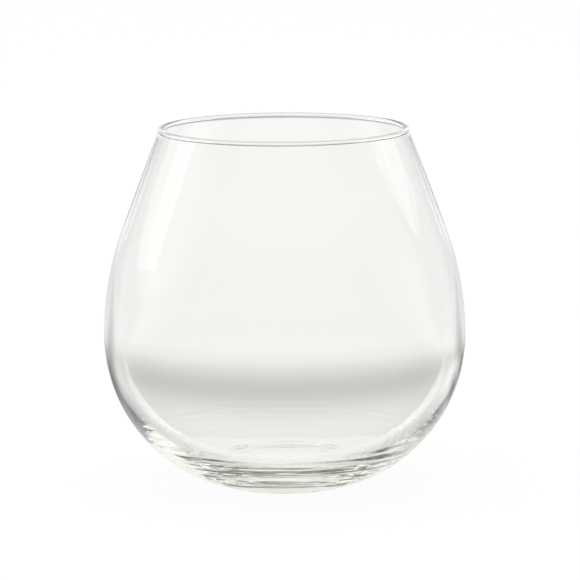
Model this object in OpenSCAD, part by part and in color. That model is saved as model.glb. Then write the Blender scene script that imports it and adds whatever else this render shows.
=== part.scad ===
// Stemless wine and sangria glass, blown in one piece from clear glass.
// One outline, turned about the Z axis, is the whole glass. Z = 0 is the table that it stands on.
// The outline is a chain of arcs that meet without a kink: outside from the foot over the belly to the
// lip, round the lip's bead, and back down the inside to the floor.

/* [Bowl] */
// Widest outer diameter, at the belly
belly_d = 100; // [92:1:112]
// Height of the belly above the table
belly_h = 41.5; // [36:0.5:47]
// Overall height, from the table to the top of the lip
height = 99; // [90:1:115]

/* [Mouth] */
// Outer diameter of the mouth
mouth_d = 69; // [60:0.5:78]
// Length of nearly straight wall between the shoulder's curve and the lip
straight_run = 30; // [15:1:36]
// How far each side of the wall steps in below the lip, which leaves a bead round the mouth
lip_pinch = 0.25; // [0.1:0.05:0.35]
// Radius of the fillet between that bead and the wall below it
lip_fillet = 0.5; // [0.3:0.1:1]

/* [Glass] */
// Thickness of the wall from the shoulder to the belly, and so the diameter of the lip's bead
wall = 1.4; // [1:0.1:2.4]
// Height of the inside floor above the table
floor_h = 4; // [3:0.25:7]

/* [Foot] */
// Outer diameter of the flat ring that the glass stands on
foot_d = 36; // [30:1:44]
// Width of that flat ring
ring_w = 2; // [1:0.25:4]
// Radius that blends the ring into the bowl
foot_round = 2; // [1:0.25:4]
// Depth of the shallow hollow inside the ring
punt_h = 0.5; // [0.3:0.1:2]

/* [Hidden] */

// Straight steps that stand for each round stretch of the outline
arc_steps = 24;
// Straight steps that stand for a stretch that is small or bends little
short_steps = 8;
// Facets round the glass in the preview
turn_facets = 128;
clear_glass = [0.86, 0.89, 0.86, 0.45];

belly_r = belly_d / 2;
lip_r = wall / 2;
lip_c = [mouth_d / 2 - lip_r, height - lip_r];

// Shoulder: the middle of the wall leaves the belly upright, bends inwards along one arc,
// and runs straight from there to the middle of the lip.
shoulder_in = belly_r - lip_r - lip_c[0];
shoulder_up = lip_c[1] - belly_h;
shoulder_r = (shoulder_in ^ 2 + shoulder_up ^ 2 - straight_run ^ 2) / (2 * shoulder_in);
shoulder_c = [belly_r - lip_r - shoulder_r, belly_h];
mouth_lean = atan2(shoulder_up, shoulder_r - shoulder_in) - atan2(straight_run, shoulder_r);

// Neck: from the end of the shoulder each side of the wall leans in along one very large arc, by the
// pinch at the height of the lip's middle. Lengths are across the wall from its middle and down from there.
neck_r = (straight_run ^ 2 + lip_pinch ^ 2) / (2 * lip_pinch);
neck_across = neck_r - lip_r;

// Fillet: a circle that touches both the bead and the neck, so its middle lies one fillet off each.
bead_reach = lip_r + lip_fillet;
neck_reach = neck_r + lip_fillet;
centres_apart = norm([neck_across, straight_run]);
reach_along = (bead_reach ^ 2 - neck_reach ^ 2 + centres_apart ^ 2) / (2 * centres_apart);
reach_aside = sqrt(bead_reach ^ 2 - reach_along ^ 2);
fillet_across = (reach_aside * straight_run - reach_along * neck_across) / centres_apart;
fillet_down = (reach_aside * neck_across + reach_along * straight_run) / centres_apart;
neck_turn = atan2(straight_run - fillet_down, fillet_across + neck_across);
bead_turn = atan2(fillet_down, fillet_across);

// Bowl outside: one arc, upright at the belly, that runs into the rounding of the foot.
foot_c = [foot_d / 2, foot_round];
bowl_in = belly_r - foot_c[0];
bowl_down = belly_h - foot_c[1];
bowl_r = (bowl_in ^ 2 + bowl_down ^ 2 - foot_round ^ 2) / (2 * (bowl_in - foot_round));
bowl_c = [belly_r - bowl_r, belly_h];
heel_angle = atan2(foot_c[1] - bowl_c[1], foot_c[0] - bowl_c[0]);

// Bowl inside: a quarter round from the belly to the flat floor. It is tighter than the outside,
// so the wall thickens steadily towards the foot.
hollow_r = belly_h - floor_h;
hollow_c = [belly_r - wall - hollow_r, belly_h];

// Punt: the cap of a large ball, pushed up inside the ring.
punt_edge_r = foot_d / 2 - ring_w;
punt_ball_r = (punt_edge_r ^ 2 + punt_h ^ 2) / (2 * punt_h);
punt_ball_c = [0, punt_h - punt_ball_r];
punt_edge_angle = atan2(-punt_ball_c[1], punt_edge_r);

// Points along an arc. A stretch that starts where the one before it ended leaves out its first point.
function arc(centre, radius, from, to, first = 1, steps = arc_steps) =
    [for (i = [first : steps])
        let (a = from + (to - from) * i / steps)
        centre + radius * [cos(a), sin(a)]];

// Point beside the lip's middle, from its distance across the wall and down along it.
function beside_lip(across, down) =
    lip_c + across * [cos(mouth_lean), sin(mouth_lean)] + down * [sin(mouth_lean), -cos(mouth_lean)];

function outside() = concat(
    arc(foot_c, foot_round, -90, heel_angle, first = 0, steps = short_steps),
    arc(bowl_c, bowl_r, heel_angle, 0),
    arc(shoulder_c, shoulder_r + lip_r, 0, mouth_lean),
    arc(beside_lip(-neck_across, straight_run), neck_r,
        mouth_lean, mouth_lean + neck_turn, steps = short_steps),
    arc(beside_lip(fillet_across, fillet_down), lip_fillet,
        mouth_lean + 180 + neck_turn, mouth_lean + 180 - bead_turn, steps = short_steps));

function bead() = arc(lip_c, lip_r, mouth_lean - bead_turn, mouth_lean + 180 + bead_turn);

function inside() = concat(
    arc(beside_lip(-fillet_across, fillet_down), lip_fillet,
        mouth_lean + bead_turn, mouth_lean - neck_turn, steps = short_steps),
    arc(beside_lip(neck_across, straight_run), neck_r,
        mouth_lean + 180 - neck_turn, mouth_lean + 180, steps = short_steps),
    arc(shoulder_c, shoulder_r - lip_r, mouth_lean, 0),
    arc(hollow_c, hollow_r, 0, -90),
    [[0, floor_h]]);

function underside() = concat(
    [[0, punt_h]],
    arc(punt_ball_c, punt_ball_r, 90, punt_edge_angle, steps = short_steps));

module glass_bowl() {
    color(clear_glass)
        rotate_extrude($fn = turn_facets)
            polygon(concat(underside(), outside(), bead(), inside()));
}

glass_bowl();
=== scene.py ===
"""Sangria glass: a stemless glass blown in one piece, on a white studio table.

The glass is one outline turned about Z. Its lower outside carries the chill ripples of a blown foot.
All sizes are in metres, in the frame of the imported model, with Z = 0 on the table.
"""

import math

import bpy
import numpy as np
from bpy.props import FloatProperty, FloatVectorProperty, IntProperty, PointerProperty
from mathutils import Matrix, Vector


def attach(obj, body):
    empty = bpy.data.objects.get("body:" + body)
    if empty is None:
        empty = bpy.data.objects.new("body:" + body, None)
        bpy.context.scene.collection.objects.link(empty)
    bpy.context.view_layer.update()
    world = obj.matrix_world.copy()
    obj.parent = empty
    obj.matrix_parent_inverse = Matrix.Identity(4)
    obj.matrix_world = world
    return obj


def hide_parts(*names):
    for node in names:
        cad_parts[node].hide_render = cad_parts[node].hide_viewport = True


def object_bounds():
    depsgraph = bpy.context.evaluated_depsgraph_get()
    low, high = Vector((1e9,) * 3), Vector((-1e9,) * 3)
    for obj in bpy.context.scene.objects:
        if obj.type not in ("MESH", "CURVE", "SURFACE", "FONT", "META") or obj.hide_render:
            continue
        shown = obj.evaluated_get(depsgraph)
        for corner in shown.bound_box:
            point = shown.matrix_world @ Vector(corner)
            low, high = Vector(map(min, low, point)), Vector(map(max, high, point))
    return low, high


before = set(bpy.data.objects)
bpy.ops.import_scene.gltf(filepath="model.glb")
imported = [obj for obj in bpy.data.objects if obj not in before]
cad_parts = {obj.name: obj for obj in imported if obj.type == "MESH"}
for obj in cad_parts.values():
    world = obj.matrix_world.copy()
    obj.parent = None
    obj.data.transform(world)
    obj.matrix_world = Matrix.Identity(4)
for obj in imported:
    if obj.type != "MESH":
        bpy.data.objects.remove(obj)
cad_low, cad_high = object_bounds()

bl_info = {
    "name": "Sangria Glass",
    "version": (1, 0, 0),
    "blender": (4, 5, 0),
    "location": "3D View > Sidebar > Sangria Glass",
    "description": "Builds a stemless blown glass and the white table that it is photographed on",
    "category": "Object",
}

GLASS_NODE = "glass_bowl"
BODY = "root"

# Steps round the glass, and along each stretch of its outline
TURN_SEGMENTS = 240
PUNT_STEPS = 16
RING_STEPS = 4
ROUNDING_STEPS = 10
RIPPLED_STEPS = 120
BOWL_STEPS = 28
SHOULDER_STEPS = 16
NECK_STEPS = 24
FILLET_STEPS = 10
BEAD_STEPS = 22
HOLLOW_STEPS = 60
FLOOR_STEPS = 12

# Ripples: wave trains, the shares of the usual pitch that they range over, how many slow waves round the
# glass make their crests wander and by how much, and the middle and size of their fading in and out
RIPPLE_TRAINS = 10
PITCH_SHARES = (0.35, 1.5)
SLOW_WAVES = 8
WANDER_SIZE = 0.8
FADE_MIDDLE = 0.5
FADE_SIZE = 0.25

# Shares of the rippled stretch over which the ripples rise at its lower end and die out at its upper one
SWELL_IN = 0.12
SWELL_OUT = 0.3

# Glass material: clouds of its tint and the shade that they reach, waves in its polish, and the grain of
# fine lines, which is full below the ripples' top divided by GRAIN_FULL
CLOUD_SCALE = 40
CLOUD_SHADE = 0.995
WAVE_SCALE = 55
WAVE_STRENGTH = 0.002
WAVE_HEIGHT = 0.001
GRAIN_SCALE = (70, 70, 1100)
GRAIN_FULL = 3

# Sockets of the Mix node that hold colours, by number, because their names stand for other kinds too
MIX_FACTOR, MIX_A, MIX_B = 0, 6, 7
MIX_RESULT = 2


class GlassShape(bpy.types.PropertyGroup):
    """Sizes of the glass, the same as those that drive its solid."""

    belly_diameter: FloatProperty(
        name="Belly diameter", description="Widest outer diameter, at the belly",
        default=cad_high.x - cad_low.x, precision=4, unit="LENGTH", subtype="DISTANCE")
    height: FloatProperty(
        name="Height", description="From the table to the top of the lip",
        default=cad_high.z - cad_low.z, precision=4, unit="LENGTH", subtype="DISTANCE")
    belly_height: FloatProperty(
        name="Belly height", description="Height of the belly above the table",
        default=0.0415, precision=4, unit="LENGTH", subtype="DISTANCE")
    mouth_diameter: FloatProperty(
        name="Mouth diameter", description="Outer diameter of the mouth",
        default=0.069, precision=4, unit="LENGTH", subtype="DISTANCE")
    straight_run: FloatProperty(
        name="Straight run", description="Nearly straight wall between the shoulder's curve and the lip",
        default=0.03, precision=4, unit="LENGTH", subtype="DISTANCE")
    lip_pinch: FloatProperty(
        name="Lip pinch", description="How far each side of the wall steps in below the lip's bead",
        default=0.00025, precision=5, unit="LENGTH", subtype="DISTANCE")
    lip_fillet: FloatProperty(
        name="Lip fillet", description="Radius of the fillet between the bead and the wall below it",
        default=0.0005, precision=5, unit="LENGTH", subtype="DISTANCE")
    wall: FloatProperty(
        name="Wall", description="Thickness of the wall from the shoulder to the belly",
        default=0.0014, precision=4, unit="LENGTH", subtype="DISTANCE")
    floor_height: FloatProperty(
        name="Floor height", description="Height of the inside floor above the table",
        default=0.004, precision=4, unit="LENGTH", subtype="DISTANCE")
    foot_diameter: FloatProperty(
        name="Foot diameter", description="Outer diameter of the flat ring under the foot",
        default=0.036, precision=4, unit="LENGTH", subtype="DISTANCE")
    ring_width: FloatProperty(
        name="Ring width", description="Width of the flat ring under the foot",
        default=0.002, precision=4, unit="LENGTH", subtype="DISTANCE")
    foot_round: FloatProperty(
        name="Foot rounding", description="Radius that blends the ring into the bowl",
        default=0.002, precision=4, unit="LENGTH", subtype="DISTANCE")
    punt_height: FloatProperty(
        name="Punt height", description="Depth of the hollow inside the ring",
        default=0.0005, precision=5, unit="LENGTH", subtype="DISTANCE")


class GlassFinish(bpy.types.PropertyGroup):
    """Look of the glass: its tint and the waves that blowing left in it."""

    tint: FloatVectorProperty(
        name="Tint", description="Share of light that one wall lets through",
        default=(0.997, 0.997, 0.987), size=3, min=0, max=1, subtype="COLOR")
    depth_tint: FloatVectorProperty(
        name="Depth tint", description="Colour that thick glass turns to",
        default=(0.55, 0.57, 0.1), size=3, min=0, max=1, subtype="COLOR")
    depth_density: FloatProperty(
        name="Depth density", description="How fast thick glass takes its colour, per metre",
        default=1.4, min=0)
    ior: FloatProperty(
        name="Refractive index", description="Refractive index of soda-lime glass",
        default=1.52, min=1)
    ripple_height: FloatProperty(
        name="Ripple height", description="Height of the chill ripples round the foot",
        default=0.00006, precision=6, unit="LENGTH", subtype="DISTANCE")
    ripple_pitch: FloatProperty(
        name="Ripple pitch", description="Usual distance from one ripple to the next",
        default=0.0028, precision=5, unit="LENGTH", subtype="DISTANCE")
    ripple_top: FloatProperty(
        name="Ripple top", description="Height above the table at which the ripples have died out",
        default=0.0145, precision=4, unit="LENGTH", subtype="DISTANCE")
    heel_calm: FloatProperty(
        name="Heel calm", description="Share of their height that the ripples keep at the heel",
        default=0.25, min=0, max=1)
    heel_top: FloatProperty(
        name="Heel top", description="Height from which the heel no longer calms the ripples",
        default=0.0098, precision=4, unit="LENGTH", subtype="DISTANCE")
    grain_height: FloatProperty(
        name="Grain height", description="Height of the fine lines between the ripples",
        default=0.00001, precision=6, unit="LENGTH", subtype="DISTANCE")
    heel_height: FloatProperty(
        name="Heel line height", description="Height of the ridge round the heel of the glass",
        default=0.0001, precision=6, unit="LENGTH", subtype="DISTANCE")
    heel_width: FloatProperty(
        name="Heel line width", description="Half width of that ridge",
        default=0.0006, precision=5, unit="LENGTH", subtype="DISTANCE")
    heel_level: FloatProperty(
        name="Heel line level", description="Height of that ridge above the table",
        default=0.0053, precision=5, unit="LENGTH", subtype="DISTANCE")
    ripple_seed: IntProperty(
        name="Ripple seed", description="Picks one set of ripples", default=7)


class StudioSettings(bpy.types.PropertyGroup):
    """The camera and the light of the studio table. A brightness of 1 is white."""

    camera_distance: FloatProperty(
        name="Camera distance", description="From the camera to the middle of the glass",
        default=1.0, unit="LENGTH", subtype="DISTANCE")
    camera_elevation: FloatProperty(
        name="Camera elevation", description="Angle at which the camera looks down",
        default=0.1682, precision=4, unit="ROTATION", subtype="ANGLE")
    camera_roll: FloatProperty(
        name="Camera roll", description="Lean of the picture to one side",
        default=-0.006, precision=4, unit="ROTATION", subtype="ANGLE")
    focal_pixels: FloatProperty(
        name="Focal length", description="Focal length, in pixels of the image",
        default=3614, subtype="PIXEL")
    centre_x: FloatProperty(
        name="Picture centre across", description="Pixel column that the lens axis falls on",
        default=284.6, subtype="PIXEL")
    centre_y: FloatProperty(
        name="Picture centre down", description="Pixel row that the lens axis falls on",
        default=306.3, subtype="PIXEL")
    softbox_light: FloatProperty(
        name="Softbox light", description="Brightness of the two side softboxes",
        default=1.28, min=0)
    overhead_light: FloatProperty(
        name="Overhead light", description="Brightness of the lamps over and beside the table",
        default=2.2, min=0)
    ambient: FloatProperty(
        name="Ambient", description="Level at which the room lights the table",
        default=0.95, min=0)
    room_level: FloatProperty(
        name="Room level", description="Brightness of the room that the glass mirrors",
        default=0.34, min=0, max=1)
    backdrop_level: FloatProperty(
        name="Backdrop level", description="Brightness of the backdrop that the near wall mirrors",
        default=0.78, min=0, max=1)
    wing_level: FloatProperty(
        name="Wing level", description="Full brightness of the side walls that the glass mirrors",
        default=0.72, min=0, max=1)
    backdrop_light: FloatProperty(
        name="Backdrop light", description="Brightness of the backdrop that the far wall mirrors",
        default=1.9, min=0)
    table_white: FloatProperty(
        name="Table white", description="Share of the table's brightness that no shadow takes away",
        default=0.955, min=0, max=1)


def arc(centre, radius, start, end, steps):
    """Points of an arc: the centre plus radius times (cos, sin) of evenly spaced angles, in radians."""
    turn = np.linspace(start, end, steps + 1)
    return np.column_stack((centre[0] + radius * np.cos(turn), centre[1] + radius * np.sin(turn)))


def run(start, end, steps):
    """Points of a straight run: start plus even shares of the way to end."""
    share = np.linspace(0, 1, steps + 1)[:, None]
    return np.asarray(start) + share * (np.asarray(end) - np.asarray(start))


def outline(shape, finish):
    """Outline of the glass, as (radius, height) points from under the foot over the lip to the floor.

    Apart from the punt, which meets the ring at a small angle, every arc follows from the sizes by one
    rule, that neighbours share a tangent where they meet.
    Two circles touch where the distance of their centres is the difference of their radii, which
    gives the bowl, and a tangent of known length from the lip's centre gives the shoulder.
    Along the straight run each side of the wall leans in on a very large arc, by the pinch at the lip,
    and a fillet that touches this arc and the lip's round leaves a bead round the mouth.
    Returns the points and a mask that is true on the outside of the bowl where it is rippled.
    """
    belly = np.array((shape.belly_diameter / 2, shape.belly_height))
    half_wall = shape.wall / 2
    lip = np.array((shape.mouth_diameter / 2 - half_wall, shape.height - half_wall))
    inward = belly[0] - half_wall - lip[0]
    upward = lip[1] - belly[1]
    shoulder_r = (inward ** 2 + upward ** 2 - shape.straight_run ** 2) / (2 * inward)
    shoulder = np.array((belly[0] - half_wall - shoulder_r, belly[1]))
    lean = math.atan2(upward, shoulder_r - inward) - math.atan2(shape.straight_run, shoulder_r)

    foot = np.array((shape.foot_diameter / 2, shape.foot_round))
    across, down = belly[0] - foot[0], belly[1] - foot[1]
    bowl_r = (across ** 2 + down ** 2 - foot[1] ** 2) / (2 * (across - foot[1]))
    bowl = np.array((belly[0] - bowl_r, belly[1]))
    heel = math.atan2(foot[1] - bowl[1], foot[0] - bowl[0])
    calm = -math.asin((bowl[1] - finish.ripple_top) / bowl_r)

    hollow_r = belly[1] - shape.floor_height
    hollow = np.array((belly[0] - shape.wall - hollow_r, belly[1]))
    punt_edge = foot[0] - shape.ring_width
    punt_r = (punt_edge ** 2 + shape.punt_height ** 2) / (2 * shape.punt_height)
    punt = np.array((0.0, shape.punt_height - punt_r))
    quarter = math.pi / 2

    neck_r = (shape.straight_run ** 2 + shape.lip_pinch ** 2) / (2 * shape.lip_pinch)
    neck = np.array((half_wall - neck_r, shape.straight_run))
    to_neck = neck / np.linalg.norm(neck)
    along = ((half_wall + shape.lip_fillet) ** 2 - (neck_r + shape.lip_fillet) ** 2 + neck @ neck)
    along = along / (2 * np.linalg.norm(neck))
    aside = math.sqrt((half_wall + shape.lip_fillet) ** 2 - along ** 2)
    fillet = along * to_neck + aside * np.array((to_neck[1], -to_neck[0]))
    neck_turn = math.atan2(neck[1] - fillet[1], fillet[0] - neck[0])
    bead_turn = math.atan2(fillet[1], fillet[0])
    back = lean + math.pi
    mirror = np.array((-1, 1))
    wall_frame = np.array(((math.cos(lean), math.sin(lean)), (math.sin(lean), -math.cos(lean))))
    neck_out, neck_in = lip + neck @ wall_frame, lip + (mirror * neck) @ wall_frame
    fillet_out, fillet_in = lip + fillet @ wall_frame, lip + (mirror * fillet) @ wall_frame

    underside = arc(punt, punt_r, quarter, math.atan2(-punt[1], punt_edge), PUNT_STEPS)
    ring = run(underside[-1], (foot[0], 0), RING_STEPS)[1:-1]
    rounding = arc(foot, foot[1], -quarter, heel, ROUNDING_STEPS)
    rippled = arc(bowl, bowl_r, heel, calm, RIPPLED_STEPS)[1:]
    calm_bowl = arc(bowl, bowl_r, calm, 0, BOWL_STEPS)[1:]
    outer_shoulder = arc(shoulder, shoulder_r + half_wall, 0, lean, SHOULDER_STEPS)[1:]
    outer_neck = arc(neck_out, neck_r, lean, lean + neck_turn, NECK_STEPS)[1:]
    outer_fillet = arc(fillet_out, shape.lip_fillet, back + neck_turn, back - bead_turn, FILLET_STEPS)[1:]
    bead = arc(lip, half_wall, lean - bead_turn, back + bead_turn, BEAD_STEPS)[1:]
    inner_fillet = arc(fillet_in, shape.lip_fillet, lean + bead_turn, lean - neck_turn, FILLET_STEPS)[1:]
    inner_neck = arc(neck_in, neck_r, back - neck_turn, back, NECK_STEPS)[1:-1]
    inner_shoulder = arc(shoulder, shoulder_r - half_wall, lean, 0, SHOULDER_STEPS)
    quarter_round = arc(hollow, hollow_r, 0, -quarter, HOLLOW_STEPS)[1:]
    floor = run(quarter_round[-1], (0, shape.floor_height), FLOOR_STEPS)[1:]

    before = np.concatenate((underside, ring, rounding))
    after = np.concatenate((calm_bowl, outer_shoulder, outer_neck, outer_fillet, bead, inner_fillet,
                            inner_neck, inner_shoulder, quarter_round, floor))
    points = np.concatenate((before, rippled, after))
    mask = np.zeros(len(points), bool)
    mask[len(before):len(before) + len(rippled)] = True
    points[[0, -1], 0] = 0
    return points, mask


def chill_ripples(along, turn, finish):
    """Height of the ripples, as an array over the distance along the outline and the turn about Z.

    Wave trains run up the glass. Each has its own pitch and a height in step with it, its crests wander
    up and down by a sum of slow waves round the glass, and it fades in and out on its way round.
    Their sum is the ripple.
    """
    draw = np.random.default_rng(finish.ripple_seed)
    orders = np.arange(1, SLOW_WAVES + 1)
    share = draw.uniform(*PITCH_SHARES, RIPPLE_TRAINS)[:, None, None]
    start = draw.uniform(0, math.tau, RIPPLE_TRAINS)
    wander_phase = draw.uniform(0, math.tau, (RIPPLE_TRAINS, SLOW_WAVES, 1))
    fade_phase = draw.uniform(0, math.tau, (RIPPLE_TRAINS, SLOW_WAVES, 1))
    around = orders[None, :, None] * turn[None, None, :]
    wander = (np.sin(around + wander_phase) * WANDER_SIZE / orders[None, :, None]).sum(1)
    fade = np.clip(FADE_MIDDLE + FADE_SIZE * np.sin(around + fade_phase).sum(1), 0, 1)
    crest = np.sin(math.tau * along[None, :, None] / (share * finish.ripple_pitch)
                   + start[:, None, None] + wander[:, None, :])
    return (share * crest * fade[:, None, :]).sum(0) / math.sqrt(RIPPLE_TRAINS)


def glass_surface(shape, finish):
    """The outline turned about Z, as vertices and faces.

    A point at radius r, height z and turn t lies at (r cos t, r sin t, z). On the rippled stretch it is
    first moved along the outline's own normal, by the ripple's height and by the ridge of the heel, a
    bell curve of the height. The ripples rise from nothing at both ends of the stretch, and stay low up
    to the heel. Faces wind along the turn first, so that they point out of the glass, and a fan closes
    each pole.
    """
    points, rippled = outline(shape, finish)
    turn = np.linspace(0, math.tau, TURN_SEGMENTS, endpoint=False)
    step = np.gradient(points, axis=0)
    normal = np.column_stack((step[:, 1], -step[:, 0])) / np.linalg.norm(step, axis=1)[:, None]
    along = np.concatenate(((0,), np.cumsum(np.linalg.norm(np.diff(points, axis=0), axis=1))))[rippled]
    share = (along - along[0]) / (along[-1] - along[0])
    level = points[rippled, 1]
    rise = np.clip((level - finish.heel_level) / (finish.heel_top - finish.heel_level), 0, 1)
    swell = finish.heel_calm + (1 - finish.heel_calm) * rise ** 2 * (3 - 2 * rise)
    swell *= np.clip(share / SWELL_IN, 0, 1) * np.clip((1 - share) / SWELL_OUT, 0, 1)
    heel = np.exp(-((level - finish.heel_level) / finish.heel_width) ** 2)
    lift = np.zeros((len(points), TURN_SEGMENTS))
    lift[rippled] = finish.ripple_height * swell[:, None] * chill_ripples(along, turn, finish)
    lift[rippled] += finish.heel_height * heel[:, None]

    radius = points[:, 0, None] + lift * normal[:, 0, None]
    height = points[:, 1, None] + lift * normal[:, 1, None]
    grid = np.stack((radius * np.cos(turn), radius * np.sin(turn), height), -1)
    rings = grid[1:-1].reshape(-1, 3)
    count = len(points) - 2
    poles = np.array([[0, 0, points[0, 1]], [0, 0, points[-1, 1]]])

    here = np.arange(TURN_SEGMENTS)
    after = (here + 1) % TURN_SEGMENTS
    below = np.arange(count - 1)[:, None] * TURN_SEGMENTS
    above = below + TURN_SEGMENTS
    bands = np.stack((below + here, below + after, above + after, above + here), -1).reshape(-1, 4)
    last = (count - 1) * TURN_SEGMENTS
    first_pole = np.full(TURN_SEGMENTS, count * TURN_SEGMENTS)
    fan_below = np.stack((first_pole, after, here), -1)
    fan_above = np.stack((first_pole + 1, last + here, last + after), -1)
    faces = bands.tolist() + fan_below.tolist() + fan_above.tolist()
    return np.concatenate((rings, poles)), faces


def add_mesh(name, vertices, faces, material):
    """Puts vertices and faces into a smooth mesh object at the origin, in the scene's collection."""
    mesh = bpy.data.meshes.new(name)
    mesh.from_pydata(vertices.tolist(), [], faces)
    mesh.polygons.foreach_set("use_smooth", np.ones(len(mesh.polygons), bool))
    mesh.materials.append(material)
    if mesh.validate():
        raise RuntimeError(f"the mesh of {name} had faults")
    piece = bpy.data.objects.new(name, mesh)
    bpy.context.scene.collection.objects.link(piece)
    return piece


def add_node(tree, kind, **values):
    """A shader node whose named inputs and properties are set to values."""
    node = tree.nodes.new(kind)
    for name, value in values.items():
        socket = node.inputs.get(name.replace("_", " ").title())
        if socket is not None:
            socket.default_value = value
        else:
            setattr(node, name, value)
    return node


def clear_glass_material(finish):
    """Clear blown glass: clouds in its tint, waves in its polish, fine lines, and colour in its depth."""
    material = bpy.data.materials.new("clear_glass")
    material.use_nodes = True
    tree = material.node_tree
    link = tree.links.new
    glass = tree.nodes["Principled BSDF"]
    glass.inputs["Transmission Weight"].default_value = 1
    glass.inputs["Roughness"].default_value = 0
    glass.inputs["IOR"].default_value = finish.ior
    place = add_node(tree, "ShaderNodeTexCoord")

    clouds = add_node(tree, "ShaderNodeTexNoise", scale=CLOUD_SCALE, detail=2)
    tints = add_node(tree, "ShaderNodeValToRGB")
    tint = np.array(finish.tint)
    tints.color_ramp.elements[0].color = (*(tint * CLOUD_SHADE), 1)
    tints.color_ramp.elements[1].color = (*tint, 1)
    link(place.outputs["Object"], clouds.inputs["Vector"])
    link(clouds.outputs["Fac"], tints.inputs["Fac"])
    link(tints.outputs["Color"], glass.inputs["Base Color"])

    waves = add_node(tree, "ShaderNodeTexNoise", scale=WAVE_SCALE, detail=1)
    polish = add_node(tree, "ShaderNodeBump", strength=WAVE_STRENGTH, distance=WAVE_HEIGHT)
    link(place.outputs["Object"], waves.inputs["Vector"])
    link(waves.outputs["Fac"], polish.inputs["Height"])

    flat = add_node(tree, "ShaderNodeMapping")
    flat.inputs["Scale"].default_value = GRAIN_SCALE
    lines = add_node(tree, "ShaderNodeTexNoise", scale=1, detail=2)
    parts = add_node(tree, "ShaderNodeSeparateXYZ")
    low = add_node(tree, "ShaderNodeMapRange")
    low.inputs["From Min"].default_value = finish.ripple_top
    low.inputs["From Max"].default_value = finish.ripple_top / GRAIN_FULL
    height = add_node(tree, "ShaderNodeMath", operation="MULTIPLY")
    grain = add_node(tree, "ShaderNodeBump", strength=1, distance=finish.grain_height)
    link(place.outputs["Object"], flat.inputs["Vector"])
    link(flat.outputs["Vector"], lines.inputs["Vector"])
    link(place.outputs["Object"], parts.inputs[0])
    link(parts.outputs["Z"], low.inputs["Value"])
    link(lines.outputs["Fac"], height.inputs[0])
    link(low.outputs["Result"], height.inputs[1])
    link(height.outputs[0], grain.inputs["Height"])
    link(polish.outputs["Normal"], grain.inputs["Normal"])
    link(grain.outputs["Normal"], glass.inputs["Normal"])

    depth = add_node(tree, "ShaderNodeVolumeAbsorption", color=(*finish.depth_tint, 1),
                     density=finish.depth_density)
    link(depth.outputs["Volume"], tree.nodes["Material Output"].inputs["Volume"])
    return material


def blank_material(name):
    """A material without nodes, and its node tree."""
    material = bpy.data.materials.new(name)
    material.use_nodes = True
    material.node_tree.nodes.clear()
    return material, material.node_tree


def ray_kinds(tree):
    """Sockets that are 1 for a ray that shows the surroundings, and for one that the glass has mirrored.

    The camera's rays, and those that the glass passes on or mirrors, show the surroundings.
    """
    path = add_node(tree, "ShaderNodeLightPath")
    both = add_node(tree, "ShaderNodeMath", operation="MAXIMUM")
    shown = add_node(tree, "ShaderNodeMath", operation="MAXIMUM")
    mirrored = add_node(tree, "ShaderNodeMath", operation="MINIMUM")
    mirrored.inputs[1].default_value = 1
    tree.links.new(path.outputs["Is Glossy Ray"], both.inputs[0])
    tree.links.new(path.outputs["Is Transmission Ray"], both.inputs[1])
    tree.links.new(both.outputs[0], shown.inputs[0])
    tree.links.new(path.outputs["Is Camera Ray"], shown.inputs[1])
    tree.links.new(path.outputs["Glossy Depth"], mirrored.inputs[0])
    return shown.outputs[0], mirrored.outputs[0]


def tone_ramp(tree, value, reach, stops):
    """Colour socket that follows value, from 0 to reach, through (value, grey or colour) stops."""
    share = add_node(tree, "ShaderNodeMath", operation="DIVIDE")
    share.inputs[1].default_value = reach
    ramp = add_node(tree, "ShaderNodeValToRGB")
    ramp.color_ramp.interpolation = "CARDINAL"
    elements = ramp.color_ramp.elements
    for _ in stops[2:]:
        elements.new(0.5)
    for element, (place, colour) in zip(elements, stops):
        element.position = place / reach
        element.color = (*np.broadcast_to(colour, 3), 1)
    tree.links.new(value, share.inputs[0])
    tree.links.new(share.outputs[0], ramp.inputs["Fac"])
    return ramp.outputs["Color"]


def mix_colours(tree, first, second, factor=None, blend="MIX"):
    """Colour socket that blends two others, by the factor's socket or, without one, in full."""
    mix = add_node(tree, "ShaderNodeMix", data_type="RGBA", blend_type=blend)
    if factor is None:
        mix.inputs[MIX_FACTOR].default_value = 1
    else:
        tree.links.new(factor, mix.inputs[MIX_FACTOR])
    tree.links.new(first, mix.inputs[MIX_A])
    tree.links.new(second, mix.inputs[MIX_B])
    return mix.outputs[MIX_RESULT]


def bent_depth(tree, parts, bend):
    """Socket with the distance behind the glass, less bend times the square of the distance to the side."""
    aside = add_node(tree, "ShaderNodeMath", operation="MULTIPLY")
    depth = add_node(tree, "ShaderNodeMath", operation="MULTIPLY_ADD")
    depth.inputs[1].default_value = -bend
    tree.links.new(parts.outputs["X"], aside.inputs[0])
    tree.links.new(parts.outputs["X"], aside.inputs[1])
    tree.links.new(aside.outputs[0], depth.inputs[0])
    tree.links.new(parts.outputs["Y"], depth.inputs[2])
    return depth.outputs[0]


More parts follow.
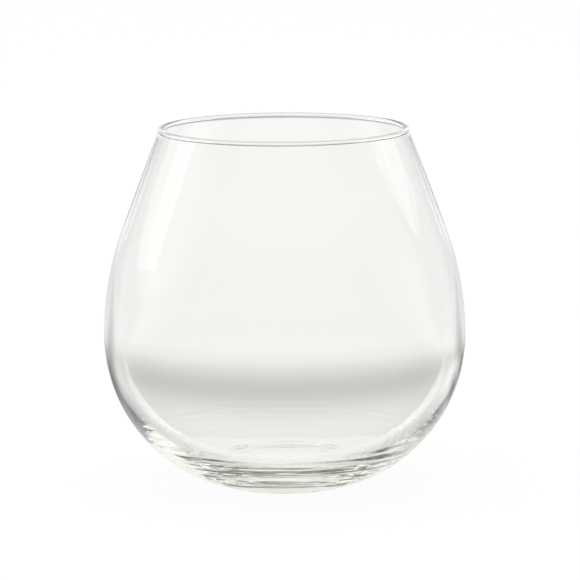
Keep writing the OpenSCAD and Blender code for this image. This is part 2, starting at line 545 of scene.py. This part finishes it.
# Painted light and shade on the table, as (distance, grey or colour) stops. Mirrored rays see a painted
# pool of light behind the glass and painted dim tones before it, with a mix where the share of Y in the
# distance lies between the two values of POOL_FRONT. A painted shade lies across the pool, and two painted
# glows beside it have their own centres. Other rays see white, with a painted light under the foot.
TABLE_PAINT = (0.9, 0.9, 0.9, 1)
POOL_REACH = 0.5
POOL_FRONT = (-0.3, 0.5)
# Painted warm glow on the table under the foot, for mirrored rays
PAINTED_FOOT_GLOW = (0.86, 0.855, 0.79)
# Painted pool of light round and behind the glass, and painted dim tones before it
PAINTED_POOL_STOPS = ((0.0, PAINTED_FOOT_GLOW), (0.028, PAINTED_FOOT_GLOW), (0.05, 0.8), (0.13, 0.85), (0.22, 0.8), (0.45, 0.75))
PAINTED_FRONT_STOPS = ((0.0, PAINTED_FOOT_GLOW), (0.028, PAINTED_FOOT_GLOW), (0.052, 0.62), (0.075, 0.45), (0.1, 0.4))
# Painted light under the foot, brighter than white, for the other rays
PAINTED_FOOT_LIGHT = (1.07, 1.065, 1.04)
PAINTED_UNDER_FOOT = ((0.0, PAINTED_FOOT_LIGHT), (0.022, PAINTED_FOOT_LIGHT), (0.036, 1.0), (0.04, 1.0))
# Painted glows of light added to the table beside the glass, with their centres
PAINTED_NEAR_GLOW = ((0.0, 0.05), (0.012, 0.1), (0.02, 0.36), (0.033, 0.36), (0.047, 0.24), (0.065, 0.05),
             (0.085, 0.0))
PAINTED_FAR_GLOW = ((0.0, 0.22), (0.05, 0.17), (0.1, 0.0))
PAINTED_SIDE_GLOWS = (((0.08, 0.07, 0.0), PAINTED_NEAR_GLOW), ((0.24, 0.11, 0.0), PAINTED_FAR_GLOW))
# Painted shade across the pool for mirrored rays, with its bend
MIRRORED_BEND = 3.0
PAINTED_SHADE_MIRRORED = ((0.02, 1.0), (0.035, 0.92), (0.05, 0.7), (0.065, 0.54), (0.085, 0.5), (0.115, 0.6),
                  (0.16, 0.9), (0.2, 1.0))


def table_material(studio):
    """White table: to the rays that show it mostly plain white, with the rest left to light and shadow.

    To mirrored rays it carries painted light and shade: a warm painted glow under the foot, a painted pool
    of light round and behind the glass apart from a painted shade across it, and painted dim tones in
    front. To the other rays a painted light makes it brighter than white under the foot.
    Its underside is clear, so that the glass can be looked at from below.
    """
    material, tree = blank_material("white_table")
    link = tree.links.new
    shown, mirrored = ray_kinds(tree)
    place = add_node(tree, "ShaderNodeTexCoord")
    reach = add_node(tree, "ShaderNodeVectorMath", operation="LENGTH")
    parts = add_node(tree, "ShaderNodeSeparateXYZ")
    link(place.outputs["Object"], reach.inputs[0])
    link(place.outputs["Object"], parts.inputs[0])

    toward = add_node(tree, "ShaderNodeMath", operation="DIVIDE")
    depth = add_node(tree, "ShaderNodeMapRange", interpolation_type="SMOOTHSTEP")
    depth.inputs["From Min"].default_value = POOL_FRONT[0]
    depth.inputs["From Max"].default_value = POOL_FRONT[1]
    link(parts.outputs["Y"], toward.inputs[0])
    link(reach.outputs["Value"], toward.inputs[1])
    link(toward.outputs[0], depth.inputs["Value"])

    # Painted light and shade for mirrored rays: a pool of light behind the glass, a shade across it and dim
    # tones in front
    behind = tone_ramp(tree, reach.outputs["Value"], POOL_REACH, PAINTED_POOL_STOPS)
    shade = tone_ramp(tree, bent_depth(tree, parts, MIRRORED_BEND), POOL_REACH, PAINTED_SHADE_MIRRORED)
    dimmed = mix_colours(tree, behind, shade, blend="MULTIPLY")
    front = tone_ramp(tree, reach.outputs["Value"], POOL_REACH, PAINTED_FRONT_STOPS)
    lit = mix_colours(tree, front, dimmed, depth.outputs["Result"])
    # Painted glows of light added beside the glass
    for centre, stops in PAINTED_SIDE_GLOWS:
        away = add_node(tree, "ShaderNodeVectorMath", operation="DISTANCE")
        away.inputs[1].default_value = centre
        link(place.outputs["Object"], away.inputs[0])
        lit = mix_colours(tree, lit, tone_ramp(tree, away.outputs["Value"], POOL_REACH, stops), blend="ADD")
    # Painted light under the foot, brighter than white, for rays that are not mirrored
    plain = tone_ramp(tree, reach.outputs["Value"], POOL_REACH, PAINTED_UNDER_FOOT)

    white = add_node(tree, "ShaderNodeEmission", strength=1)
    share = add_node(tree, "ShaderNodeMath", operation="MULTIPLY")
    share.inputs[1].default_value = studio.table_white
    paint = add_node(tree, "ShaderNodeBsdfDiffuse", color=TABLE_PAINT)
    top = add_node(tree, "ShaderNodeMixShader")
    side = add_node(tree, "ShaderNodeNewGeometry")
    under = add_node(tree, "ShaderNodeBsdfTransparent")
    whole = add_node(tree, "ShaderNodeMixShader")
    output = add_node(tree, "ShaderNodeOutputMaterial")
    link(mix_colours(tree, plain, lit, mirrored), white.inputs["Color"])
    link(shown, share.inputs[0])
    link(share.outputs[0], top.inputs["Fac"])
    link(paint.outputs["BSDF"], top.inputs[1])
    link(white.outputs["Emission"], top.inputs[2])
    link(side.outputs["Backfacing"], whole.inputs["Fac"])
    link(top.outputs["Shader"], whole.inputs[1])
    link(under.outputs["BSDF"], whole.inputs[2])
    link(whole.outputs["Shader"], output.inputs["Surface"])
    return material


# Gates of the cards: sets of comparisons, each an output of the Light Path node, its kind and a limit.
# STRAIGHT rays have not been mirrored, and MIRRORED_ONCE ones once at most. NEAR_WALL rays have crossed
# two surfaces at most, so they have met one wall, mostly the near one, and FAR_WALL rays have crossed
# more. GUIDED rays have been mirrored on and on inside one wall.
STRAIGHT = (("Glossy Depth", "LESS_THAN", 0.5),)
MIRRORED_ONCE = (("Glossy Depth", "LESS_THAN", 1.5),)
NEAR_WALL = (("Transmission Depth", "LESS_THAN", 2.5),)
FAR_WALL = (("Transmission Depth", "GREATER_THAN", 2.5),)
GUIDED = (("Glossy Depth", "GREATER_THAN", 4.5), ("Transmission Depth", "LESS_THAN", 2.5))


def gate_socket(tree, gate):
    """Socket that is 1 for the rays that pass a gate: those for which all its comparisons hold."""
    path = add_node(tree, "ShaderNodeLightPath")
    passed = None
    for measure, kind, limit in gate:
        test = add_node(tree, "ShaderNodeMath", operation=kind)
        test.inputs[1].default_value = limit
        tree.links.new(path.outputs[measure], test.inputs[0])
        if passed is None:
            passed = test.outputs[0]
        else:
            both = add_node(tree, "ShaderNodeMath", operation="MULTIPLY")
            tree.links.new(passed, both.inputs[0])
            tree.links.new(test.outputs[0], both.inputs[1])
            passed = both.outputs[0]
    return passed


def show_through_gate(tree, gate, shader):
    """Gives the surface a shader to the rays that pass a gate, and leaves it clear to others."""
    clear = add_node(tree, "ShaderNodeBsdfTransparent")
    either = add_node(tree, "ShaderNodeMixShader")
    output = add_node(tree, "ShaderNodeOutputMaterial")
    tree.links.new(gate_socket(tree, gate), either.inputs["Fac"])
    tree.links.new(clear.outputs["BSDF"], either.inputs[1])
    tree.links.new(shader, either.inputs[2])
    tree.links.new(either.outputs["Shader"], output.inputs["Surface"])


def card_material(name, level, gate, base=0.0, fades=()):
    """Card that glows at level, where 1 is white, to the rays that pass its gate, and is clear to others.

    Each fade is an axis and the places along it where the card's level is down to base and where it is
    full.
    """
    material, tree = blank_material(name)
    link = tree.links.new
    glow = add_node(tree, "ShaderNodeEmission", color=(1, 1, 1, 1), strength=level)
    show_through_gate(tree, gate, glow.outputs["Emission"])
    if fades:
        place = add_node(tree, "ShaderNodeTexCoord")
        parts = add_node(tree, "ShaderNodeSeparateXYZ")
        link(place.outputs["Object"], parts.inputs[0])
        share = add_node(tree, "ShaderNodeValue").outputs[0]
        share.default_value = level - base
        for axis, start, end in fades:
            fade = add_node(tree, "ShaderNodeMapRange", interpolation_type="SMOOTHSTEP")
            fade.inputs["From Min"].default_value = start
            fade.inputs["From Max"].default_value = end
            part = add_node(tree, "ShaderNodeMath", operation="MULTIPLY")
            link(parts.outputs[axis], fade.inputs["Value"])
            link(fade.outputs["Result"], part.inputs[0])
            link(share, part.inputs[1])
            share = part.outputs[0]
        whole = add_node(tree, "ShaderNodeMath", operation="ADD")
        whole.inputs[1].default_value = base
        link(share, whole.inputs[0])
        link(whole.outputs[0], glow.inputs["Strength"])
    return material


# Painted shade on the table as straight rays see it, as (depth, grey) stops. Its warmth is how strongly
# red, green and blue are shaded.
SHADE_REACH = 0.2
SHADE_BEND = 5.4
SHADE_WARMTH = np.array((1, 1.02, 1.06))
SHADE_STOPS = ((0.0, 1.0), (0.03, 0.97), (0.05, 0.89), (0.066, 0.8), (0.08, 0.71), (0.1, 0.635),
               (0.125, 0.715), (0.153, 0.88), (0.18, 0.985), (0.2, 1.0))


def shade_material():
    """Painted soft grey shade across the table behind the glass, as a filter over the table's white.

    Its tone follows the distance behind the glass, less a share of the square of the distance to the side,
    so that the shade bends away from the camera at both ends. Only straight rays see it.
    """
    material, tree = blank_material("shade")
    place = add_node(tree, "ShaderNodeTexCoord")
    parts = add_node(tree, "ShaderNodeSeparateXYZ")
    grey = add_node(tree, "ShaderNodeBsdfTransparent")
    tree.links.new(place.outputs["Object"], parts.inputs[0])
    stops = [(metres, 1 - (1 - level) * SHADE_WARMTH) for metres, level in SHADE_STOPS]
    tone = tone_ramp(tree, bent_depth(tree, parts, SHADE_BEND), SHADE_REACH, stops)
    tree.links.new(tone, grey.inputs["Color"])
    show_through_gate(tree, STRAIGHT, grey.outputs["BSDF"])
    return material


def add_card(name, corners, material, faces=None):
    """Card that only the glass shows: neither the camera nor the table's light sees it.

    Without faces it is one face with the corners in turn.
    """
    card = add_mesh(name, np.array(corners), faces or [tuple(range(len(corners)))], material)
    card.visible_camera = False
    card.visible_diffuse = False
    card.visible_shadow = False


def add_wall(name, radius, turns, tops, material, foot=0.0):
    """Card that stands upright round the glass, from turn to turn, with a level or curved top.

    Turns are in degrees from straight behind the glass, and tops are the heights there, above its foot.
    """
    angle = np.radians(turns)
    low = np.column_stack((radius * np.sin(angle), radius * np.cos(angle), np.full(len(angle), foot)))
    high = low + np.column_stack((np.zeros((len(angle), 2)), np.broadcast_to(tops, len(angle))))
    first = np.arange(len(angle) - 1)
    faces = np.stack((first, first + 1, first + 1 + len(angle), first + len(angle)), -1).tolist()
    add_card(name, np.concatenate((low, high)), material, faces)


def flat_corners(half, depths, drop):
    """Corners of a level card: its half width, its near and far edge behind the glass, and its drop."""
    near, far = depths
    return [(-half, near, -drop), (half, near, -drop), (half, far, -drop), (-half, far, -drop)]


def around_glass(radius, places, side=1):
    """Points round the axis of the glass, from (azimuth, height) pairs. A side of -1 mirrors them across.

    Azimuths are in degrees from the camera's side.
    """
    points = []
    for azimuth, height in places:
        turn = math.radians(azimuth)
        points.append((side * radius * math.sin(turn), -radius * math.cos(turn), height))
    return points


def white_room(studio):
    """World: as the surroundings show to the camera and the glass, and plain soft light to the table."""
    world = bpy.data.worlds.new("white_room")
    bpy.context.scene.world = world
    world.use_nodes = True
    tree = world.node_tree
    tree.nodes.clear()
    link = tree.links.new
    shown, mirrored = ray_kinds(tree)
    level = add_node(tree, "ShaderNodeMix")
    level.inputs["A"].default_value = 1
    level.inputs["B"].default_value = studio.room_level
    light = add_node(tree, "ShaderNodeMix")
    light.inputs["A"].default_value = studio.ambient
    link(mirrored, level.inputs["Factor"])
    link(shown, light.inputs["Factor"])
    link(level.outputs["Result"], light.inputs["B"])
    sky = add_node(tree, "ShaderNodeBackground")
    sky.inputs["Color"].default_value = (1, 1, 1, 1)
    link(light.outputs["Result"], sky.inputs["Strength"])
    output = add_node(tree, "ShaderNodeOutputWorld")
    link(sky.outputs["Background"], output.inputs["Surface"])


def add_lamp(name, place, size, brightness):
    """Square lamp at place that faces the foot of the glass, and lights the table but not the glass.

    A lamp of area A that gives off P watts has the brightness P / (pi A), so P follows from brightness.
    """
    light = bpy.data.lights.new(name, "AREA")
    light.size = size
    light.energy = brightness * math.pi * size ** 2
    lamp = bpy.data.objects.new(name, light)
    lamp.location = place
    lamp.rotation_euler = (Vector() - Vector(place)).to_track_quat("-Z", "Y").to_euler()
    lamp.visible_camera = False
    lamp.visible_glossy = False
    lamp.visible_transmission = False
    bpy.context.scene.collection.objects.link(lamp)


# Picture and lens: pixels along the picture's side, millimetres of sensor, and the height aimed at
IMAGE_SIDE = 580
SENSOR_WIDTH = 36
AIM_HEIGHT = 0.049


def add_camera(studio):
    """Camera that looks at the axis of the glass from the front, as the picture was taken."""
    lens = bpy.data.cameras.new("camera")
    lens.sensor_width = SENSOR_WIDTH
    lens.lens = SENSOR_WIDTH * studio.focal_pixels / IMAGE_SIDE
    lens.shift_x = (IMAGE_SIDE / 2 - studio.centre_x) / IMAGE_SIDE
    lens.shift_y = (studio.centre_y - IMAGE_SIDE / 2) / IMAGE_SIDE
    camera = bpy.data.objects.new("camera", lens)
    down = studio.camera_elevation
    camera.location = (0, -studio.camera_distance * math.cos(down),
                       AIM_HEIGHT + studio.camera_distance * math.sin(down))
    aim = Matrix.Rotation(math.pi / 2 - down, 3, "X") @ Matrix.Rotation(studio.camera_roll, 3, "Z")
    camera.rotation_euler = aim.to_euler()
    bpy.context.scene.collection.objects.link(camera)
    bpy.context.scene.camera = camera


# Stage: radii, heights and depths in metres, and levels where 1 is white. Turns are the first and the last
# one, in degrees from straight behind the glass, and their number. Where two cards differ, the values are
# for the left and the right one. Strips and softboxes are (azimuth in degrees from the camera's side,
# height) corners.
SIDES = (("left", -1), ("right", 1))

TABLE_HALF = 3.0
TABLE_DROP = 0.0003
SHADE_DROP = TABLE_DROP / 3
SHADE_HALF = 0.15
SHADE_DEPTHS = (0.0, 0.4)
# The mouth shade is a painted shade: a card a little darker than white, seen through the mouth
MOUTH_SHADE_HALF = 0.2
MOUTH_SHADE_DEPTHS = (0.42, 1.0)
MOUTH_SHADE_LEVEL = 0.975

BACKDROP_RADIUS = 0.9
BACKDROP_TURNS = (-42, 42, 25)
BACKDROP_TOP = 0.26
LIT_RADIUS = 0.91
LIT_TURNS = (12, 35, 13)
LIT_TOP = 0.22
LIT_CURVE = 4
MIDDLE_TURNS = (-12, 12, 7)
MIDDLE_TOP = 0.5
MIDDLE_LEVEL = 1.05

EDGE_RADIUS = 0.89
EDGE_TURNS = (5, 24, 9)
EDGE_TOP = 0.08
EDGE_LEVELS = (1.5, 1.35)
EDGE_BASE = 0.93
EDGE_FADES = (("Z", 0.035, 0.06),)
LIP_LEVEL = 1.8
LIP_STRIP = ((177, 0.17), (168, 0.2), (158, 0.34), (152, 0.45), (152, 0.62), (158, 0.55), (168, 0.36),
             (177, 0.225))

RING_RADIUS = 0.7
RING_TURNS = (-95, 95, 25)
RING_TOP = 0.19
RING_RISE = 0.09
RING_LEVEL = 1.35
RING_END_TURNS = (95, 115, 5)
RING_END_TOP = 0.4
RING_END_LEVELS = (0.55, 0.25)
RIM_LIGHT_RADIUS = 0.71
RIM_LIGHT_TURNS = (60, 100, 9)
RIM_LIGHT_FOOT = 0.27
RIM_LIGHT_HEIGHT = 0.18
RIM_LIGHT_LEVEL = 0.75
DARK_RADIUS = 0.75
DARK_TURNS = (-180, 180, 49)
DARK_TOP = 1.3
DARK_LEVEL = 0.03

SIDE_RADIUS = 0.93
SIDE_TURNS = (0, 115, 24)
SIDE_TOPS = (0.42, 0.52)
SIDE_FULL_BELOW = (0.16, 0.22)
SIDE_DEPTH_FADE = ("Y", -0.28, 0.47)
LOW_SIDE_RADIUS = 0.94
LOW_SIDE_TURNS = (-115, 115, 47)
LOW_SIDE_TOP = 0.12
VALANCE_HALF = 0.6
VALANCE_DEPTH = 1.0
VALANCE_HEIGHTS = (0.16, 0.9)
VALANCE_LEVEL = 0.45

SOFTBOX_RADIUS = 0.3
CORE_RADIUS = 0.29
SOFTBOX_SHARE = 0.82
LEFT_SOFTBOX = ((-92, 0.12), (-92, 0.16), (-85, 0.23), (-117, 0.19), (-124, 0.135), (-108, 0.095))
LEFT_CORE = ((-92, 0.12), (-92, 0.16), (-85, 0.225), (-108, 0.185), (-108, 0.15), (-97, 0.108))
RIGHT_SOFTBOX = ((112, 0.135), (104.5, 0.141), (100, 0.155), (94, 0.175), (85.5, 0.207), (110, 0.2),
                 (120, 0.137))

# Name, place and side of each lamp, and how often light may be mirrored or bent on its way
LAMPS = (("overhead_lamp", (0, 0.2, 1.5), 1.2), ("left_lamp", (-1.2, -0.2, 1.0), 0.8))
BOUNCES = 64


def lay_table(studio):
    """Lays the table, and on it the painted shades that are seen through both walls and through the mouth.
    """
    corners = np.array(flat_corners(TABLE_HALF, (-TABLE_HALF, TABLE_HALF), TABLE_DROP))
    add_mesh("table", corners, [(0, 1, 2, 3)], table_material(studio))
    add_card("shade", flat_corners(SHADE_HALF, SHADE_DEPTHS, SHADE_DROP), shade_material())
    add_card("mouth_shade", flat_corners(MOUTH_SHADE_HALF, MOUTH_SHADE_DEPTHS, SHADE_DROP),
             card_material("mouth_shade", MOUTH_SHADE_LEVEL, STRAIGHT + NEAR_WALL))


def stand_backdrops(studio):
    """Stands the arched backdrop, those that the far wall mirrors, and the edge and lip lights."""
    arch = np.linspace(*BACKDROP_TURNS)
    add_wall("backdrop", BACKDROP_RADIUS, arch, BACKDROP_TOP * (1 - (arch / arch[-1]) ** 2),
             card_material("backdrop", studio.backdrop_level, NEAR_WALL))
    arch = np.linspace(*LIT_TURNS)
    for side, sign in SIDES:
        name = f"{side}_lit_backdrop"
        add_wall(name, LIT_RADIUS, sign * arch, LIT_TOP * (1 - (arch / arch[-1]) ** LIT_CURVE),
                 card_material(name, studio.backdrop_light, FAR_WALL + MIRRORED_ONCE))
    add_wall("middle_backdrop", LIT_RADIUS, np.linspace(*MIDDLE_TURNS), MIDDLE_TOP,
             card_material("middle_backdrop", MIDDLE_LEVEL, FAR_WALL))
    for (side, sign), level in zip(SIDES, EDGE_LEVELS):
        name = f"{side}_edge_light"
        add_wall(name, EDGE_RADIUS, sign * np.linspace(*EDGE_TURNS), EDGE_TOP,
                 card_material(name, level, NEAR_WALL, EDGE_BASE, EDGE_FADES))
    for side, sign in SIDES:
        name = f"{side}_lip_light"
        add_card(name, around_glass(EDGE_RADIUS, LIP_STRIP, sign),
                 card_material(name, LIP_LEVEL, NEAR_WALL))


def stand_guided_cards():
    """Stands the cards that guided rays end on: a dark ring, and brighter cards before it."""
    turns = np.linspace(*RING_TURNS)
    add_wall("low_ring", RING_RADIUS, turns, RING_TOP + RING_RISE * turns / turns[-1],
             card_material("low_ring", RING_LEVEL, GUIDED))
    for (side, sign), level in zip(SIDES, RING_END_LEVELS):
        name = f"low_ring_{side}_end"
        add_wall(name, RING_RADIUS, sign * np.linspace(*RING_END_TURNS), RING_END_TOP,
                 card_material(name, level, GUIDED))
    for side, sign in SIDES:
        name = f"{side}_rim_light"
        add_wall(name, RIM_LIGHT_RADIUS, sign * np.linspace(*RIM_LIGHT_TURNS), RIM_LIGHT_HEIGHT,
                 card_material(name, RIM_LIGHT_LEVEL, GUIDED), RIM_LIGHT_FOOT)
    add_wall("dark_ring", DARK_RADIUS, np.linspace(*DARK_TURNS), DARK_TOP,
             card_material("dark_ring", DARK_LEVEL, GUIDED))


def stand_side_walls(studio):
    """Stands the valance, and side walls that fade to the room's level towards the camera and the top."""
    for (side, sign), top, full in zip(SIDES, SIDE_TOPS, SIDE_FULL_BELOW):
        name = f"{side}_side_wall"
        add_wall(name, SIDE_RADIUS, sign * np.linspace(*SIDE_TURNS), top,
                 card_material(name, studio.wing_level, NEAR_WALL, studio.room_level,
                               (SIDE_DEPTH_FADE, ("Z", top, full))))
    add_wall("low_side_wall", LOW_SIDE_RADIUS, np.linspace(*LOW_SIDE_TURNS), LOW_SIDE_TOP,
             card_material("low_side_wall", studio.wing_level, FAR_WALL, studio.room_level,
                           (SIDE_DEPTH_FADE, ("Z", LOW_SIDE_TOP, 0.0))))
    low, high = VALANCE_HEIGHTS
    add_card("valance", [(-VALANCE_HALF, VALANCE_DEPTH, low), (VALANCE_HALF, VALANCE_DEPTH, low),
                         (VALANCE_HALF, VALANCE_DEPTH, high), (-VALANCE_HALF, VALANCE_DEPTH, high)],
             card_material("valance", VALANCE_LEVEL, STRAIGHT + NEAR_WALL))


def hang_softboxes(studio):
    """Hangs a softbox on each side of the glass, the left one with a brighter core before it."""
    add_card("left_softbox", around_glass(SOFTBOX_RADIUS, LEFT_SOFTBOX),
             card_material("left_softbox", studio.softbox_light * SOFTBOX_SHARE, NEAR_WALL))
    add_card("left_core", around_glass(CORE_RADIUS, LEFT_CORE),
             card_material("left_core", studio.softbox_light, NEAR_WALL))
    add_card("right_softbox", around_glass(SOFTBOX_RADIUS, RIGHT_SOFTBOX),
             card_material("right_softbox", studio.softbox_light, NEAR_WALL))


class SANGRIA_OT_blow_glass(bpy.types.Operator):
    """Build the glass, rippled and in clear glass, in place of its plain solid"""

    bl_idname = "sangria.blow_glass"
    bl_label = "Blow the Glass"

    def execute(self, context):
        scene = context.scene
        vertices, faces = glass_surface(scene.sangria_shape, scene.sangria_finish)
        material = clear_glass_material(scene.sangria_finish)
        glass = add_mesh("blown_glass", vertices, faces, material)
        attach(glass, BODY)
        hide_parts(GLASS_NODE)
        return {"FINISHED"}


class SANGRIA_OT_set_stage(bpy.types.Operator):
    """Set up the white table, the cards that the glass mirrors, the lamps and the camera"""

    bl_idname = "sangria.set_stage"
    bl_label = "Set the Stage"

    def execute(self, context):
        scene = context.scene
        studio = scene.sangria_studio
        lay_table(studio)
        stand_backdrops(studio)
        stand_guided_cards()
        stand_side_walls(studio)
        white_room(studio)
        hang_softboxes(studio)
        for name, place, size in LAMPS:
            add_lamp(name, place, size, studio.overhead_light)
        add_camera(studio)
        scene.view_settings.view_transform = "Standard"
        scene.cycles.max_bounces = BOUNCES
        scene.cycles.glossy_bounces = BOUNCES
        scene.cycles.transmission_bounces = BOUNCES
        return {"FINISHED"}


class SANGRIA_PT_sidebar(bpy.types.Panel):
    """Sidebar panel with the sizes, the finish, the studio and the operators."""

    bl_idname = "SANGRIA_PT_sidebar"
    bl_label = "Sangria Glass"
    bl_space_type = "VIEW_3D"
    bl_region_type = "UI"
    bl_category = "Sangria Glass"

    def draw(self, context):
        scene = context.scene
        column = self.layout.column()
        for group in (scene.sangria_shape, scene.sangria_finish, scene.sangria_studio):
            for name in group.__annotations__:
                column.prop(group, name)
            column.separator()
        for operator in (SANGRIA_OT_blow_glass, SANGRIA_OT_set_stage):
            column.operator(operator.bl_idname)


CLASSES = (GlassShape, GlassFinish, StudioSettings,
           SANGRIA_OT_blow_glass, SANGRIA_OT_set_stage, SANGRIA_PT_sidebar)


def register():
    for cls in CLASSES:
        bpy.utils.register_class(cls)
    bpy.types.Scene.sangria_shape = PointerProperty(type=GlassShape)
    bpy.types.Scene.sangria_finish = PointerProperty(type=GlassFinish)
    bpy.types.Scene.sangria_studio = PointerProperty(type=StudioSettings)


def unregister():
    del bpy.types.Scene.sangria_studio
    del bpy.types.Scene.sangria_finish
    del bpy.types.Scene.sangria_shape
    for cls in reversed(CLASSES):
        bpy.utils.unregister_class(cls)


def main():
    """Registers the classes, and builds the glass and its stage."""
    register()
    bpy.ops.sangria.blow_glass()
    bpy.ops.sangria.set_stage()


if __name__ == "__main__":
    main()
